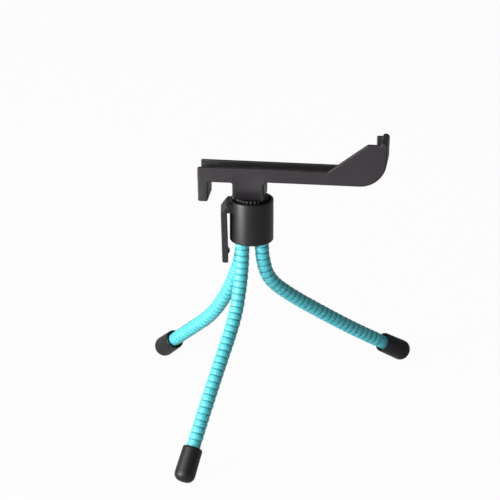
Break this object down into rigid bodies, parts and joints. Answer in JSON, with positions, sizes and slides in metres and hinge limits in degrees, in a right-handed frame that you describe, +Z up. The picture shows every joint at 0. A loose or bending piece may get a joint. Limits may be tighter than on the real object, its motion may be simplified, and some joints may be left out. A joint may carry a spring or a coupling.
{
  "type": "mini tripod",
  "caption": "Mini tripod with bendable ribbed legs, rubber feet, a hub with a belt clip, and a screw-on channel cradle for a flat pocket device.",
  "frame": {"origin": "on the floor under the centre of the whole part's box, as it stands on its feet", "axes": "+Z up from the floor, +X along the cradle towards its end wall as seen from above, +Y from the tall plate side towards the low lip side"},
  "size_m": [0.1129, 0.1096, 0.12],
  "materials": {
    "black_moulding": "black moulded plastic with a satin, faintly grained skin",
    "black_core": "black moulded nylon",
    "screw_steel": "turned and plated steel",
    "dark_nylon": "dark nylon",
    "insert_brass": "turned brass",
    "pad_rubber": "matt foam rubber",
    "turquoise_coating": "smooth turquoise coating on a ribbed sheath",
    "crimp_aluminium": "crimped aluminium",
    "core_wire": "soft drawn wire",
    "foot_rubber": "matt black rubber"
  },
  "bodies": {
    "hub": {"hub_shell": "black_moulding", "hub_core": "black_core", "mounting_stud": "screw_steel"},
    "ring_carrier": {"ring_washer": "dark_nylon"},
    "ring": {"lock_ring": "black_moulding"},
    "insert": {"thread_insert": "insert_brass"},
    "cradle": {"cradle_body": "black_moulding", "floor_pad": "pad_rubber", "end_pad": "pad_rubber"},
    "clip": {"pocket_clip": "black_moulding"},
    "front_leg_1": {"front_sheath_1": "turquoise_coating", "front_ferrule": "crimp_aluminium", "front_core_wire": "core_wire"},
    "front_leg_2": {"front_sheath_2": "turquoise_coating"},
    "front_leg_3": {"front_sheath_3": "turquoise_coating"},
    "front_leg_4": {"front_sheath_4": "turquoise_coating"},
    "front_leg_5": {"front_sheath_5": "turquoise_coating"},
    "front_leg_6": {"front_sheath_6": "turquoise_coating", "front_end_plug": "crimp_aluminium", "front_foot": "foot_rubber"},
    "right_leg_1": {"right_sheath_1": "turquoise_coating", "right_ferrule": "crimp_aluminium", "right_core_wire": "core_wire"},
    "right_leg_2": {"right_sheath_2": "turquoise_coating"},
    "right_leg_3": {"right_sheath_3": "turquoise_coating"},
    "right_leg_4": {"right_sheath_4": "turquoise_coating"},
    "right_leg_5": {"right_sheath_5": "turquoise_coating"},
    "right_leg_6": {"right_sheath_6": "turquoise_coating", "right_end_plug": "crimp_aluminium", "right_foot": "foot_rubber"},
    "left_leg_1": {"left_sheath_1": "turquoise_coating", "left_ferrule": "crimp_aluminium", "left_core_wire": "core_wire"},
    "left_leg_2": {"left_sheath_2": "turquoise_coating"},
    "left_leg_3": {"left_sheath_3": "turquoise_coating"},
    "left_leg_4": {"left_sheath_4": "turquoise_coating"},
    "left_leg_5": {"left_sheath_5": "turquoise_coating"},
    "left_leg_6": {"left_sheath_6": "turquoise_coating", "left_end_plug": "crimp_aluminium", "left_foot": "foot_rubber"}
  },
  "joints": [
    {"name": "ring_drop", "type": "slide", "parent": "hub", "child": "ring_carrier", "axis": [0.0808, 0.1246, 0.9889], "range_m": [-0.000529, 0]},
    {"name": "ring_turn", "type": "hinge", "parent": "ring_carrier", "child": "ring", "pos_m": [-0.0008, 0.01075, 0.0938], "axis": [0.0808, 0.1246, 0.9889], "range_deg": [-150, 0]},
    {"name": "cradle_lift", "type": "slide", "parent": "hub", "child": "insert", "axis": [0.0808, 0.1246, 0.9889], "range_m": [0, 0.00476]},
    {"name": "cradle_turn", "type": "hinge", "parent": "insert", "child": "cradle", "pos_m": [-0.00052, 0.01118, 0.09726], "axis": [0.0808, 0.1246, 0.9889], "range_deg": [0, 1350]},
    {"name": "clip_flex", "type": "hinge", "parent": "hub", "child": "clip", "pos_m": [-0.01073, 0.00946, 0.09417], "axis": [-0.1315, 0.9848, -0.1133], "range_deg": [0, 8], "stiffness_Nm_per_rad": 0.3},
    {"name": "front_swing", "type": "hinge", "parent": "hub", "child": "front_leg_1", "pos_m": [-0.00537, 0.0053, 0.07909], "axis": [0.0808, 0.1246, 0.9889], "range_deg": [-25, 25]},
    {"name": "front_bend_1", "type": "hinge", "parent": "front_leg_1", "child": "front_leg_2", "pos_m": [-0.00597, 0.00439, 0.07184], "axis": [-0.9353, 0.3523, 0.032], "range_deg": [-3.9, 14], "deforming": ["front_core_wire"]},
    {"name": "front_bend_2", "type": "hinge", "parent": "front_leg_2", "child": "front_leg_3", "pos_m": [-0.00743, 0.00145, 0.06134], "axis": [-0.9353, 0.3523, 0.032], "range_deg": [-10.4, 14]},
    {"name": "front_bend_3", "type": "hinge", "parent": "front_leg_3", "child": "front_leg_4", "pos_m": [-0.01004, -0.00438, 0.04916], "axis": [-0.9353, 0.3523, 0.032], "range_deg": [-21.9, 14]},
    {"name": "front_bend_4", "type": "hinge", "parent": "front_leg_4", "child": "front_leg_5", "pos_m": [-0.01558, -0.01794, 0.03668], "axis": [-0.9353, 0.3523, 0.032], "range_deg": [-3, 14]},
    {"name": "front_bend_5", "type": "hinge", "parent": "front_leg_5", "child": "front_leg_6", "pos_m": [-0.02185, -0.03328, 0.02221], "axis": [-0.9353, 0.3523, 0.032], "range_deg": [-3, 14]},
    {"name": "right_swing", "type": "hinge", "parent": "hub", "child": "right_leg_1", "pos_m": [0.00209, 0.00931, 0.07797], "axis": [0.0808, 0.1246, 0.9889], "range_deg": [-25, 25]},
    {"name": "right_bend_1", "type": "hinge", "parent": "right_leg_1", "child": "right_leg_2", "pos_m": [0.0015, 0.0084, 0.07072], "axis": [0.623, -0.7808, 0.0475], "range_deg": [-9.8, 14], "deforming": ["right_core_wire"]},
    {"name": "right_bend_2", "type": "hinge", "parent": "right_leg_2", "child": "right_leg_3", "pos_m": [0.00282, 0.00879, 0.05981], "axis": [0.623, -0.7808, 0.0475], "range_deg": [-33.1, 4.9]},
    {"name": "right_bend_3", "type": "hinge", "parent": "right_leg_3", "child": "right_leg_4", "pos_m": [0.01002, 0.01389, 0.04926], "axis": [0.623, -0.7808, 0.0475], "range_deg": [-6.1, 14]},
    {"name": "right_bend_4", "type": "hinge", "parent": "right_leg_4", "child": "right_leg_5", "pos_m": [0.02122, 0.02201, 0.03588], "axis": [0.623, -0.7808, 0.0475], "range_deg": [-1, 14]},
    {"name": "right_bend_5", "type": "hinge", "parent": "right_leg_5", "child": "right_leg_6", "pos_m": [0.03422, 0.03147, 0.02086], "axis": [0.623, -0.7808, 0.0475], "range_deg": [-3.2, 14]},
    {"name": "left_swing", "type": "hinge", "parent": "hub", "child": "left_leg_1", "pos_m": [-0.00622, 0.01139, 0.07839], "axis": [0.0808, 0.1246, 0.9889], "range_deg": [-25, 25]},
    {"name": "left_bend_1", "type": "hinge", "parent": "left_leg_1", "child": "left_leg_2", "pos_m": [-0.00682, 0.01048, 0.07114], "axis": [0.7637, 0.6298, -0.1417], "range_deg": [-19.6, 13.4], "deforming": ["left_core_wire"]},
    {"name": "left_bend_2", "type": "hinge", "parent": "left_leg_2", "child": "left_leg_3", "pos_m": [-0.01056, 0.01274, 0.06104], "axis": [0.7637, 0.6298, -0.1417], "range_deg": [-5.7, 14]},
    {"name": "left_bend_3", "type": "hinge", "parent": "left_leg_3", "child": "left_leg_4", "pos_m": [-0.01596, 0.01658, 0.049], "axis": [0.7637, 0.6298, -0.1417], "range_deg": [-10.4, 14]},
    {"name": "left_bend_4", "type": "hinge", "parent": "left_leg_4", "child": "left_leg_5", "pos_m": [-0.02518, 0.02439, 0.03401], "axis": [0.7637, 0.6298, -0.1417], "range_deg": [-13.3, 14]},
    {"name": "left_bend_5", "type": "hinge", "parent": "left_leg_5", "child": "left_leg_6", "pos_m": [-0.03762, 0.03642, 0.02043], "axis": [0.7637, 0.6298, -0.1417], "range_deg": [-3, 14]}
  ],
  "couplings": [
    {"joint": "ring_turn", "follows": "ring_drop", "rad_per_m": 4947.4},
    {"joint": "cradle_turn", "follows": "cradle_lift", "rad_per_m": 4947.4}
  ]
}
